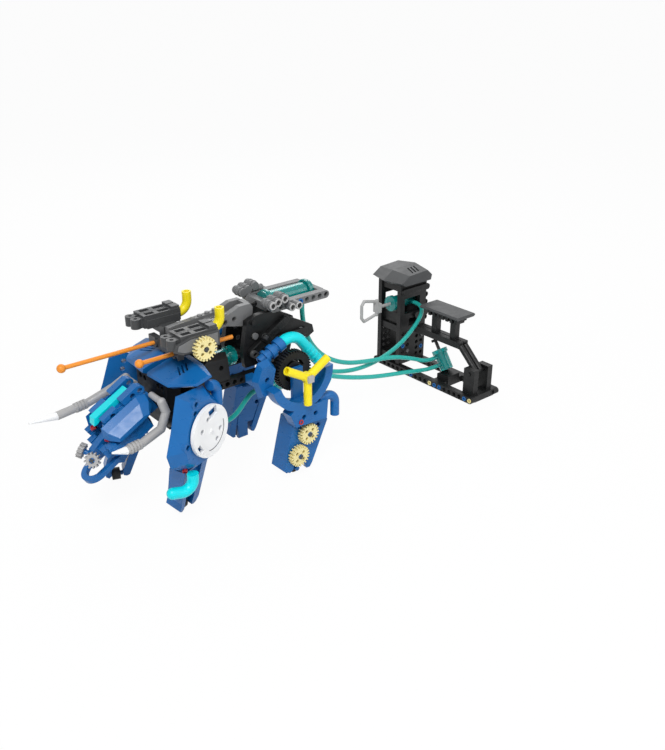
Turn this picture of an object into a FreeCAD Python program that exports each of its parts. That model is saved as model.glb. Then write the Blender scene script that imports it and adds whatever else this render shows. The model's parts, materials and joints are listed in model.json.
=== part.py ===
import FreeCAD, Part
import math
import os

# A water-powered walking beast kit with its two-hand controller, built on an 8 mm hole grid.
# Frame: +X is where the beast looks, +Z is up, the floor is z = 0.
# Places are written for the standard 8 mm pitch and scale with the pitch in the sheet.

Vector = FreeCAD.Vector
Rotation = FreeCAD.Rotation
Placement = FreeCAD.Placement
STANDARD_PITCH = 8.0
X = Vector(1, 0, 0)
Y = Vector(0, 1, 0)
Z = Vector(0, 0, 1)
SIDES = ((1, "left"), (-1, "right"))

SIZES = (
    ("pitch", 8.0, "distance between two holes of a beam"),
    ("beam_gap", 0.2, "how much narrower than the pitch a beam is"),
    ("hole_size", 4.9, "diameter of a beam's hole"),
    ("axle_size", 4.8, "diameter of an axle or hinge pin"),
    ("running_gap", 0.05, "radial gap of an axle in its bore"),
    ("origin_x", 98.61, "from the beast's feet to the middle of the whole kit"),
    ("origin_y", 11.75, "sideways shift of the whole kit"),
    ("rail_y", 20.0, "spine rails, sideways"),
    ("rail_z", 104.0, "spine rails, height"),
    ("hip_x", -60.0, "rear hip axle"),
    ("hip_z", 112.0, "rear hip axle, height"),
    ("shoulder_x", 43.0, "middle of the front disc"),
    ("shoulder_y", 68.0, "middle of the front disc, sideways"),
    ("shoulder_z", 89.0, "middle of the front disc, height"),
    ("shoulder_yaw", 20.0, "front leg turned outwards, degrees"),
    ("head_x", 70.0, "neck pin"),
    ("head_z", 100.0, "neck pin, height"),
    ("head_pitch", 30.0, "how far the head looks down, degrees"),
    ("arm_x", -38.0, "gun arm hinge"),
    ("arm_z", 156.0, "gun arm hinge, height"),
    ("gun_x", 32.0, "gun pitch axle"),
    ("gun_z", 158.0, "gun pitch axle, height"),
    ("dart_y", 17.0, "dart, sideways"),
    ("dart_z", 147.0, "dart, height"),
    ("dart_size", 4.0, "dart shaft diameter"),
    ("dart_length", 96.0, "dart from end to end"),
    ("tail_y", 20.0, "tail beams, sideways"),
    ("tail_z", 166.0, "tail beams, height"),
    ("gear_tip", 22.0, "twenty-tooth gear, over its teeth"),
    ("gear_root", 17.6, "twenty-tooth gear, under its teeth"),
    ("gear_thick", 5.6, "twenty-tooth gear, thickness"),
    ("disc_size", 49.0, "white front disc"),
    ("roller_size", 12.0, "foot roller diameter"),
    ("turntable_size", 40.0, "black turntable gear"),
    ("tube_size", 10.0, "elbow tube outside diameter"),
    ("blade_length", 28.0, "propeller radius"),
    ("barrel_size", 16.0, "cylinder outside diameter"),
    ("rod_size", 4.0, "piston rod diameter"),
    ("tower_x", -330.0, "controller tower"),
    ("tower_y", -76.0, "controller tower, sideways"),
    ("tower_height", 112.0, "controller tower, top of its frame"),
    ("base_length", 168.0, "controller base"),
    ("hose_size", 5.0, "hose outside diameter"),
)

doc = FreeCAD.newDocument("WalkingBeastKit")
sheet = doc.addObject("Spreadsheet::Sheet", "Sizes")
for row, (alias, value, meaning) in enumerate(SIZES, start=1):
    sheet.set(f"A{row}", meaning)
    sheet.set(f"B{row}", str(value))
    sheet.setAlias(f"B{row}", alias)
doc.recompute()


def cell(alias):
    return float(sheet.get(alias))


SCALE = cell("pitch") / STANDARD_PITCH
BEAM = "(Sizes.pitch - Sizes.beam_gap)"
HOLE = "Sizes.hole_size / 2"
AXLE = "Sizes.axle_size / 2"
BORE = "(Sizes.axle_size / 2 + Sizes.running_gap)"
BEAM_WIDTH = cell("pitch") - cell("beam_gap")
RAIL_FACE = cell("rail_y") * SCALE + BEAM_WIDTH / 2


def at(x, y, z):
    """A place in the beast's own frame."""
    return Vector(x, y, z) * SCALE


def grid(size):
    """A size as an expression: a number is for the standard pitch and scales with it."""
    if isinstance(size, str):
        return size
    return f"{size} * Sizes.pitch / {STANDARD_PITCH}"


def bind(item, **sizes):
    for name, size in sizes.items():
        item.setExpression(name, grid(size))
    item.recompute()
    return item


def box(size, centre, turn=None):
    item = bind(doc.addObject("Part::Box", "Box"), Length=size[0], Width=size[1], Height=size[2])
    turn = turn or Rotation()
    half = Vector(item.Length.Value, item.Width.Value, item.Height.Value) * 0.5
    item.Placement = Placement(centre - turn.multVec(half), turn)
    return item


def rod(radius, length, centre, along):
    """A round bar through `centre`."""
    item = bind(doc.addObject("Part::Cylinder", "Cylinder"), Radius=radius, Height=length)
    turn = Rotation(Z, along)
    item.Placement = Placement(centre - turn.multVec(Z) * (item.Height.Value / 2), turn)
    return item


def span(radius, start, end):
    """A round bar from one place to another; its length follows from the places."""
    along = end - start
    return rod(radius, f"{along.Length}", (start + end) * 0.5, along)


def ball(radius, centre):
    item = bind(doc.addObject("Part::Sphere", "Ball"), Radius=radius)
    item.Placement = Placement(centre, Rotation())
    return item


def bend(ring, tube, centre, start, sweep):
    """Part of a torus in the XZ plane; angles in degrees from +X towards +Z."""
    item = bind(doc.addObject("Part::Torus", "Bend"), Radius1=ring, Radius2=tube)
    item.Angle3 = sweep
    stand = Rotation(X, Z, -Y, "XYZ")
    item.Placement = Placement(centre, Rotation(Y, -start) * stand)
    return item


def joined(items):
    if len(items) == 1:
        return items[0]
    item = doc.addObject("Part::MultiFuse", "Joined")
    item.Shapes = list(items)
    item.Refine = True
    return item


def cut(base, tools):
    item = doc.addObject("Part::Cut", "Cut")
    item.Base = base
    item.Tool = joined(tools)
    return item


def outline_on(body, outline, lift):
    """A closed outline on the body's XZ plane, moved `lift` along +Y."""
    sketch = body.newObject("Sketcher::SketchObject", "Outline")
    plane = [part for part in body.Origin.OriginFeatures if part.Role == "XZ_Plane"][0]
    sketch.AttachmentSupport = [(plane, "")]
    sketch.MapMode = "FlatFace"
    sketch.AttachmentOffset = Placement(Vector(0, 0, -lift), Rotation())
    corners = [Vector(x, z, 0) * SCALE for x, z in outline]
    for start, end in zip(corners, corners[1:] + corners[:1]):
        sketch.addGeometry(Part.LineSegment(start, end), False)
    return sketch


def plate(outline, thickness, middle):
    """A flat plate with an outline in X and Z, centred on y = middle."""
    body = doc.addObject("PartDesign::Body", "Plate")
    sketch = outline_on(body, outline, 0)
    pad = body.newObject("PartDesign::Pad", "Pad")
    pad.Profile = sketch
    pad.SideType = "Symmetric"
    pad.setExpression("Length", grid(thickness))
    body.Placement = Placement(Vector(0, middle * SCALE, 0), Rotation())
    return body


def faceted(inner, outer, inner_y, outer_y):
    """A panel whose outline changes from y = inner_y to y = outer_y in flat facets."""
    body = doc.addObject("PartDesign::Body", "Panel")
    first = outline_on(body, inner, inner_y * SCALE)
    second = outline_on(body, outer, outer_y * SCALE)
    loft = body.newObject("PartDesign::AdditiveLoft", "Loft")
    loft.Profile = first
    loft.Sections = [second]
    loft.Ruled = True
    return body


def shrink(outline, share, middle):
    return [(middle[0] + (x - middle[0]) * share, middle[1] + (z - middle[1]) * share)
            for x, z in outline]


def beam(count, first, along=X, across=Y):
    """A straight beam with round ends and `count` holes, starting at its first hole."""
    pitch = cell("pitch")
    half_run = (count - 1) * pitch / 2
    parts = [box((f"{count - 1} * Sizes.pitch", BEAM, BEAM), Vector(half_run, 0, 0))]
    for end in (0, 2 * half_run):
        parts.append(rod(f"{BEAM} / 2", BEAM, Vector(end, 0, 0), Y))
    holes = [rod(HOLE, "2 * Sizes.pitch", Vector(index * pitch, 0, 0), Y) for index in range(count)]
    item = cut(joined(parts), holes)
    item.Placement = Placement(first, Rotation(along, across, along.cross(across), "XYZ"))
    return item


def gear(teeth, tip, root, thick, centre, bore=BORE, windows=0):
    """A spur gear about the Y axis through `centre`."""
    tip_radius = cell(tip) / 2 if isinstance(tip, str) else tip * SCALE / 2
    root_radius = cell(root) / 2 if isinstance(root, str) else root * SCALE / 2
    tooth = tip_radius - root_radius
    width = math.pi * root_radius / teeth * 0.95
    parts = [rod(f"{root_radius}", thick, Vector(), Y)]
    for index in range(teeth):
        angle = 360.0 * index / teeth
        turn = Rotation(Y, angle)
        place = turn.multVec(Vector(root_radius + tooth / 2 - 0.3, 0, 0))
        parts.append(box((f"{tooth + 0.6}", thick, f"{width}"), place, turn))
    tools = [rod(bore, "4 * Sizes.pitch", Vector(), Y)]
    for index in range(windows):
        turn = Rotation(Y, 45 + 360.0 * index / windows)
        tools.append(rod(1.7, "4 * Sizes.pitch", turn.multVec(Vector(root_radius * 0.62, 0, 0)), Y))
    item = cut(joined(parts), tools)
    item.Placement = Placement(centre, Rotation())
    return item


def posed(item, place):
    """The same piece, placed in another frame."""
    group = doc.addObject("Part::Compound", "Placed")
    group.Links = [item]
    group.Placement = place
    return group


NODES = []


def node(name, *pieces, place=None):
    """One named sub-part: its solids, moved to the middle of the whole kit."""
    group = doc.addObject("Part::Compound", "Node")
    group.Links = list(pieces)
    group.Label = name
    shift = Placement(at(cell("origin_x"), cell("origin_y"), 0), Rotation())
    group.Placement = shift * (place or Placement())
    NODES.append(group)


# ---------------------------------------------------------------- spine and body

def spine():
    rail_y = cell("rail_y")
    rail_z = cell("rail_z")
    node("spine_rails", *[beam(17, at(-84, side * rail_y, rail_z)) for side, _ in SIDES])
    width = f"2 * Sizes.rail_y * Sizes.pitch / 8 - {BEAM}"
    blocks = []
    for x in (-72, -4, 36):
        block = box((16, width, 16), at(x, 0, rail_z))
        blocks.append(cut(block, [rod(HOLE, 20, at(x + dx, 0, rail_z), Z) for dx in (-4, 4)]))
    node("spine_blocks", *blocks)


def bulkhead():
    """The cross wall behind the head, with the front leg axles and the neck tongue."""
    wall = box((14, 54, 44), at(55, 0, 102))
    tongue = box((14, 15.6, 10), at(69, 0, cell("head_z")))
    parts = [wall, tongue, rod("Sizes.hose_size / 2", 8, at(46, 12, 84), X)]
    for side, _ in SIDES:
        place = shoulder_place(side)
        parts.append(posed(rod(7, 26, at(0, -32 * side, 0), Y), place))
        parts.append(posed(rod(AXLE, 40, at(0, -24 * side, 0), Y), place))
    neck_bore = rod(BORE, 40, at(cell("head_x"), 0, cell("head_z")), Y)
    holes = [rod(HOLE, 20, at(55, y, 118), X) for y in (-20, -12, 12, 20)]
    node("front_bulkhead", cut(joined(parts), [neck_bore] + holes))


def shoulder_shields():
    """Two faceted plates over the shoulders, each with three slots."""
    shields = []
    for side, _ in SIDES:
        outline = [(-8, 0), (30, 0), (34, 4), (32, 7), (-2, 7), (-8, 4)]
        middle = shrink(outline, 0.92, (13, 3))
        body = faceted(outline, middle, 4 * side, 38 * side)
        tip = faceted(middle, shrink(outline, 0.42, (2, 0)), 38 * side, 56 * side)
        slots = []
        for index in range(3):
            slots.append(box((1.6, 14, 30), at(6 + 4 * index, 30 * side, 4),
                             Rotation(Z, -25 * side)))
        plate_with_slots = cut(joined([body, tip]), slots)
        plate_with_slots.Placement = Placement(at(34, 0, 133.4), Rotation(Y, 17))
        foot = box((10, 18, 6), at(54, 16 * side, 127))
        shields.append(joined([plate_with_slots, foot]))
    node("shoulder_shields", *shields)


def body_sides():
    panels = []
    for side, _ in SIDES:
        outline = [(-10, 108), (40, 108), (42, 116), (35, 127), (20, 137), (-8, 134)]
        inner = shrink(outline, 1.0, (16, 120))
        panel = faceted(inner, shrink(outline, 0.82, (16, 120)), 16.5 * side, 27 * side)
        holes = [rod(HOLE, 60, at(x, 22 * side, 124), Y) for x in (4, 20, 28)]
        panels.append(cut(panel, holes))
    node("body_sides", *panels)


def rear_tower():
    """Two plates on the spine that carry the gun arm's hinge and the tail."""
    outline = [(-80, 112), (-28, 112), (-26, 126), (-32, 158), (-44, 162), (-54, 162.1), (-68, 162.1),
               (-84, 150), (-110, 136), (-112, 128), (-104, 124), (-86, 132)]
    parts = []
    for side, _ in SIDES:
        side_plate = plate(outline, 6, 16 * side)
        windows = [box((18, 12, 16), at(-60, 16 * side, 128)),
                   rod(HOLE, 20, at(-95, 16 * side, 134), Y),
                   rod(HOLE, 20, at(-42, 16 * side, 130), Y),
                   rod(HOLE, 20, at(-40, 16 * side, 142), Y)]
        parts.append(cut(side_plate, windows))
    for x, z in ((-76, 118), (-36, 120), (-104, 130)):
        parts.append(rod(3.5, 30, at(x, 0, z), Y))
    parts.append(rod(AXLE, 44, at(cell("arm_x"), 0, cell("arm_z")), Y))
    node("rear_tower", joined(parts))


def flank_panels():
    panels = []
    for side, _ in SIDES:
        outline = [(-22, 92), (-15, 112), (-22, 128), (-34, 130), (-40.5, 122), (-38, 112), (-34, 92)]
        panel = faceted(outline, shrink(outline, 0.8, (-28, 112)), 47.2 * side, 54.4 * side)
        lug_inner = RAIL_FACE / SCALE
        lug = box((8, 48 - lug_inner, 8), at(-28, side * (lug_inner + 48) / 2, cell("rail_z")))
        panels.append(cut(joined([panel, lug]), [rod(HOLE, 60, at(-28, 60 * side, 112), Y)]))
    node("flank_panels", *panels)


def turntables():
    """Black ring gears on both hips, each with the axle of the leg and the propeller."""
    pieces = []
    hip = (cell("hip_x"), cell("hip_z"))
    for side, _ in SIDES:
        ring = gear(40, "turntable_size", 36.0, 8, at(hip[0], 50 * side, hip[1]), bore=12)
        web = box((28, 8, 7), at(hip[0], 50 * side, hip[1]))
        drum = rod(9, 8, at(hip[0], 50 * side, hip[1]), Y)
        inner = RAIL_FACE / SCALE
        stem = box((12, 46 - inner, 8), at(hip[0], side * (inner + 46) / 2, cell("rail_z")))
        axle = rod(AXLE, 32, at(hip[0], 62.5 * side, hip[1]), Y)
        pieces.append(joined([ring, web, drum, stem, axle]))
    node("turntables", *pieces)


def exhausts():
    """The blue collared tubes and the cyan elbows behind them."""
    blue = []
    cyan = []
    for side, _ in SIDES:
        y = 40 * side
        heading = math.radians(154)
        start = at(-30, y, 125)
        step = at(math.cos(heading), 0, math.sin(heading))
        end = start + step * 30
        parts = [span("Sizes.tube_size / 2", start, end)]
        for near, far in ((6, 9), (13, 18), (22, 29)):
            parts.append(span(7, start + step * near, start + step * far))
        blue.append(cut(joined(parts), [span(2.6, start - step * 2, end + step * 2)]))
        ring = 18
        turn_in = math.radians(244)
        middle = end + at(math.cos(turn_in), 0, math.sin(turn_in)) * ring
        pieces = [bend(ring, "Sizes.tube_size / 2 + 0.5", middle, 64, 77)]
        leave = math.radians(141)
        run_start = middle + at(math.cos(leave), 0, math.sin(leave)) * ring
        run_way = at(math.cos(math.radians(231)), 0, math.sin(math.radians(231)))
        run_end = run_start + run_way * 48
        pieces.append(span("Sizes.tube_size / 2 + 0.5", run_start, run_end))
        for index in range(5):
            rib = run_start + run_way * (10 + 6 * index)
            pieces.append(span("Sizes.tube_size / 2 + 0.9", rib, rib + run_way * 3))
        low_ring = 11
        low = run_end + at(math.cos(math.radians(321)), 0, math.sin(math.radians(321))) * low_ring
        pieces.append(bend(low_ring, "Sizes.tube_size / 2 + 0.5", low, 141, 99))
        cyan.append(joined(pieces))
    node("exhaust_tubes", *blue)
    node("exhaust_elbows", *cyan)


# ---------------------------------------------------------------- tail

def tail():
    tail_y = cell("tail_y")
    tail_z = cell("tail_z")
    parts = [beam(9, at(-124, side * tail_y, tail_z)) for side, _ in SIDES]
    inner = f"2 * Sizes.tail_y * Sizes.pitch / 8 - {BEAM} + 0.4"
    block = box((8, inner, BEAM), at(-60, 0, tail_z))
    parts.append(cut(block, [rod("Sizes.rod_size / 2 + 0.1", 20, at(-60, 0, tail_z), X)]))
    parts.append(box((6, inner, BEAM), at(-123, 0, tail_z)))
    for side, _ in SIDES:
        for x, z in ((-60, 174), (-68, 176), (-54, 172)):
            parts.append(rod(4.2, 14, at(x, 24 * side, z), Y))
        parts.append(rod(3.9, 10, at(-76, 27 * side, tail_z), Y))
        parts.append(rod(3.9, 10, at(-84, 27 * side, tail_z), Y))
    node("tail_frame", joined(parts))
    barrel = rod("Sizes.barrel_size / 2 + 0.5", 56, at(-92, 0, tail_z), X)
    collar = rod("Sizes.barrel_size / 2 + 2", 5, at(-66.5, 0, tail_z), X)
    heel = rod("Sizes.barrel_size / 2 + 2", 5, at(-117.5, 0, tail_z), X)
    port = rod("Sizes.hose_size / 2", 14, at(-112, 0, tail_z - 9), Z)
    hollow = rod(6.5, 46, at(-92, 0, tail_z), X)
    throat = rod("Sizes.rod_size / 2 + 0.1", 40, at(-74, 0, tail_z), X)
    node("tail_cylinder", cut(joined([barrel, collar, heel, port]), [hollow, throat]))
    shaft = rod("Sizes.rod_size / 2", 50, at(-71, 0, tail_z), X)
    piston = rod(6.4, 8, at(-97, 0, tail_z), X)
    node("tail_rod", joined([shaft, piston, rod(3, 3, at(-47, 0, tail_z), X)]))


# ---------------------------------------------------------------- gun arm

def gun_arm():
    outline = [(37, 155.2), (37, 162), (28, 163), (-14, 166), (-30, 172), (-42, 172), (-44.5, 168), (-43, 154),
               (-38, 151), (-30, 152), (-14, 156), (20, 153.4)]
    parts = []
    for side, _ in SIDES:
        arm_plate = plate(outline, 6, 8.5 * side)
        holes = [rod(BORE, 30, at(cell("arm_x"), 8 * side, cell("arm_z")), Y),
                 rod(BORE, 30, at(cell("gun_x"), 8 * side, cell("gun_z")), Y)]
        for index in range(4):
            holes.append(rod(HOLE, 30, at(-23 + 10 * index, 8 * side, 161 - index), Y))
        parts.append(cut(arm_plate, holes))
    parts.append(box((5, 12, 7), at(-41.5, 0, 168)))
    parts.append(box((10, 12, 5), at(-6, 0, 160)))
    for index in range(5):
        for side, _ in SIDES:
            parts.append(rod(2.4, 2.6, at(-14 + 8 * index, 8.5 * side, 166.6 - index), Z))
    node("arm_beams", joined(parts))


def turret():
    dart_y = cell("dart_y")
    dart_z = cell("dart_z")
    gun = (cell("gun_x"), cell("gun_z"))
    parts = [box((12, 30, 11), at(39, 0, 147.5))]
    for side, _ in SIDES:
        parts.append(rod(4.6, 39, at(27.5, dart_y * side, dart_z), X))
        parts.append(box((16, 9, 12), at(30, dart_y * side, 155)))
        parts.append(box((6, 12, 10), at(44, 20 * side, 148)))
    parts.append(rod(AXLE, 97.6, at(gun[0], 0, gun[1]), Y))
    bores = [rod("Sizes.dart_size / 2 + 0.1", 60, at(28, dart_y * side, dart_z), X) for side, _ in SIDES]
    bores += [rod(HOLE, 12, at(44, 22.5 * side, dart_z - 3.5), X) for side, _ in SIDES]
    node("turret_block", cut(joined(parts), bores))


def guns():
    """Two twin-barrel blocks with rounded muzzles, windows and a side panel each."""
    gun = (cell("gun_x"), cell("gun_z"))
    blocks = []
    for side, _ in SIDES:
        parts = []
        for y in (27, 37):
            parts.append(box((38, 9.4, 12), at(33, y * side, 166)))
            parts.append(rod(4.7, 9, at(58, y * side, 165.5), Z))
            parts.append(box((8, 7, 9), at(54, y * side, 165.5)))
            parts.append(box((8, 8, 3), at(18.5, y * side, 173)))
        parts.append(box((34, 20, 8), at(32, 32 * side, 163)))
        parts.append(box((12, 20, 7), at(gun[0], 32 * side, 157)))
        panel = plate([(14, 156), (52, 156), (60, 160), (58, 166), (44, 170), (14, 170)], 2.4, 42.7 * side)
        parts.append(panel)
        windows = [rod(BORE, 90, at(gun[0], 32 * side, gun[1]), Y)]
        for y in (27, 37):
            windows.append(box((11, 5.5, 8), at(29.5, y * side, 172)))
            windows.append(box((9, 5.5, 8), at(44, y * side, 172)))
            windows.append(rod(1.8, 8, at(58, y * side, 169), Z))
        blocks.append(cut(joined(parts), windows))
    node("gun_blocks", *blocks)
    sights = []
    for side, _ in SIDES:
        tube = "Sizes.tube_size / 2 - 0.6"
        elbow = bend(11, tube, at(14, 28 * side, 176), 180, 90)
        rise = rod(tube, 8, at(3, 28 * side, 180), Z)
        hollow = rod(2.7, 7, at(3, 28 * side, 181.5), Z)
        sights.append(cut(joined([elbow, rise]), [hollow]))
    node("sight_tubes", *sights)
    node("gear_knob", gear(20, "gear_tip", "gear_root", "Sizes.gear_thick", at(gun[0], 47.2, gun[1]), windows=4))


def darts():
    radius = "Sizes.dart_size / 2"
    length = cell("dart_length")
    for (side, hand), head in zip(SIDES, (80, 136)):
        y = cell("dart_y") * side
        z = cell("dart_z")
        shaft = rod(radius, length, at(head - length / 2, y, z), X)
        node(f"dart_{hand}", joined([shaft, ball(4, at(head, y, z))]))


# ---------------------------------------------------------------- head

def head_place():
    return Placement(at(cell("head_x"), 0, cell("head_z")), Rotation(Y, cell("head_pitch")))


def snout_way(side):
    """The way that a snout gear faces: outwards, up and a little ahead."""
    return Vector(0.361, 0.72 * side, 0.592).normalize()


def snout_spot(side):
    return at(69, 11 * side, 2)


def head():
    """Everything here is in the head's own frame: +X along the snout, origin at the neck pin."""
    place = head_place()
    skull_side = [(-5, 7), (44, 7), (46, 14), (42, 21), (4, 21), (-5, 16)]
    parts = []
    for side, _ in SIDES:
        parts.append(plate(skull_side, 6, 11.5 * side))
        lift_arm = cut(joined([box((20, 8, 9), at(8, 10 * side, 24)), rod(4.5, 8, at(-1, 10 * side, 23), Y),
                               box((16, 7, 7), at(33, 10 * side, 23))]),
                       [rod(HOLE, 20, at(-1, 10 * side, 23), Y), rod(HOLE, 20, at(7, 10 * side, 24), Y),
                        rod(HOLE, 20, at(31, 10 * side, 22.5), Y)])
        parts.append(lift_arm)
        parts.append(plate([(-4, -4), (4, -4), (6, 8), (-4, 8)], 5, 11 * side))
    parts.append(box((34, 18, 14), at(22, 0, 15)))
    parts.append(rod(AXLE, 27, at(0, 0, 0), Y))
    node("head_skull", joined(parts), place=place)

    stripe = plate([(4, 22.2), (5, 27), (44, 27.6), (48, 22), (45, 21.2), (40, 22.2)], 9, 0)
    node("head_stripe", stripe, place=place)

    cheeks = []
    for side, _ in SIDES:
        roof = [(-2, 8), (44, 8), (50, 13), (46, 23), (6, 22), (-2, 18)]
        brow = [(0, 8), (43, 8), (48, 11), (45, 18.5), (8, 18), (0, 14)]
        edge = [(8, 7.4), (40, 7.4), (43, 8.4), (41, 11.5), (14, 11), (8, 9)]
        upper = faceted(roof, brow, 14.7 * side, 21 * side)
        cheeks.append(joined([upper, faceted(brow, edge, 21 * side, 29 * side)]))
    node("head_cheeks", *cheeks, place=place)

    parts = []
    for side, _ in SIDES:
        lower = [(8, -8), (50, -8), (56, -2), (54, 5), (34, 6.8), (8, 6.8)]
        parts.append(faceted(lower, shrink(lower, 0.86, (32, -2)), 13 * side, 25 * side))
        parts.append(box((8, 7, 9), at(55, 12 * side, -1)))
        parts.append(box((8, 7, 5), at(50, 21 * side, 5)))
        lug = box((8, 4, 8), at(46, 12.3 * side, -8.2))
        parts.append(cut(lug, [rod(BORE, 60, at(46, 0, -9.5), Y)]))
        way = snout_way(side)
        parts.append(rod(AXLE, 14.4, snout_spot(side) - way * 3.9, way))
    parts.append(box((12, 26.4, 9), at(42, 0, -2)))
    parts.append(plate([(40, 2), (46, 7), (64, 3), (66, -3), (58, -5), (40, -5)], 8, 0))
    parts.append(box((6, 20, 6), at(56, 0, -1)))
    parts.append(rod(3, 10, at(64, 0, -1.5), Y))
    node("snout_block", joined(parts), place=place)

    for side, hand in SIDES:
        spin = Placement(snout_spot(side), Rotation(Y, snout_way(side)))
        wheel = gear(12, 14.4, 10.6, 5, Vector(0, 0, 0))
        node(f"snout_gear_{hand}", posed(wheel, spin), place=place)


def jaw():
    """A U-shaped lower jaw on a pin under the snout."""
    level = -15.8
    outer = box((30, 28, 4.5), at(58, 0, level))
    nose = rod(14, 4.5, at(72, 0, level), Z)
    gap = joined([box((30, 17, 12), at(60, 0, level)), rod(8.5, 12, at(72, 0, level), Z)])
    ears = [box((7, 4, 11), at(46, 8 * side, -12.6)) for side, _ in SIDES]
    arms = cut(joined([outer, nose]), [gap])
    parts = [arms] + ears + [box((6, 28, 4.5), at(46, 0, level)), rod(AXLE, 26, at(46, 0, -9.5), Y)]
    node("jaw", joined(parts), place=head_place())


def tusks():
    place = head_place()
    near = [(at(-6, 33, 12), at(-3, 35, 2)), (at(-3, 35, 2), at(10, 37, -6)), (at(10, 37, -6), at(30, 38, -2)),
            (at(30, 38, -2), at(44, 38, 4))]
    far = [(at(-6, -33, 12), at(8, -38, 10)), (at(8, -38, 10), at(34, -42, 14)),
           (at(34, -42, 14), at(62, -42, 26))]
    tubes = []
    tips = []
    for run, tip in ((near, at(55, 38, 13)), (far, at(84, -42, 40))):
        parts = []
        for start, end in run:
            parts.append(span(4, start, end))
            parts.append(ball(4, start))
        last_start, last_end = run[-1]
        way = (last_end - last_start).normalize()
        for index in range(4):
            parts.append(span(4.8, last_start + way * (2 + 3 * index), last_start + way * (4 + 3 * index)))
        inner = 1 if run is near else -1
        parts.append(span(3, at(-6, 14.6 * inner, 12), at(-6, 33 * inner, 12)))
        tubes.append(joined(parts))
        horn = bind(doc.addObject("Part::Cone", "Tip"), Radius1=3.8, Radius2=0.8, Height=f"{(tip - last_end).Length}")
        horn.Placement = Placement(last_end, Rotation(Z, tip - last_end))
        tips.append(cut(horn, [span(4, last_start, last_end)]))
    node("tusks", *tubes, place=place)
    node("tusk_tips", *tips, place=place)


# ---------------------------------------------------------------- legs

def shoulder_place(side):
    middle = at(cell("shoulder_x"), cell("shoulder_y") * side, cell("shoulder_z"))
    return Placement(middle, Rotation(Z, cell("shoulder_yaw") * side))


KNEE = -34.1
# How far each front foot stands ahead of its knee, in mm, how far its shin tilts inwards, in degrees, how
# far its hook sits inside its disc, in mm, and how far the hook turns inwards, in degrees.
STANCE = {"left": (-13, 18, 7.5, 20), "right": (13, 9, 8.1, 3)}


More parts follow.
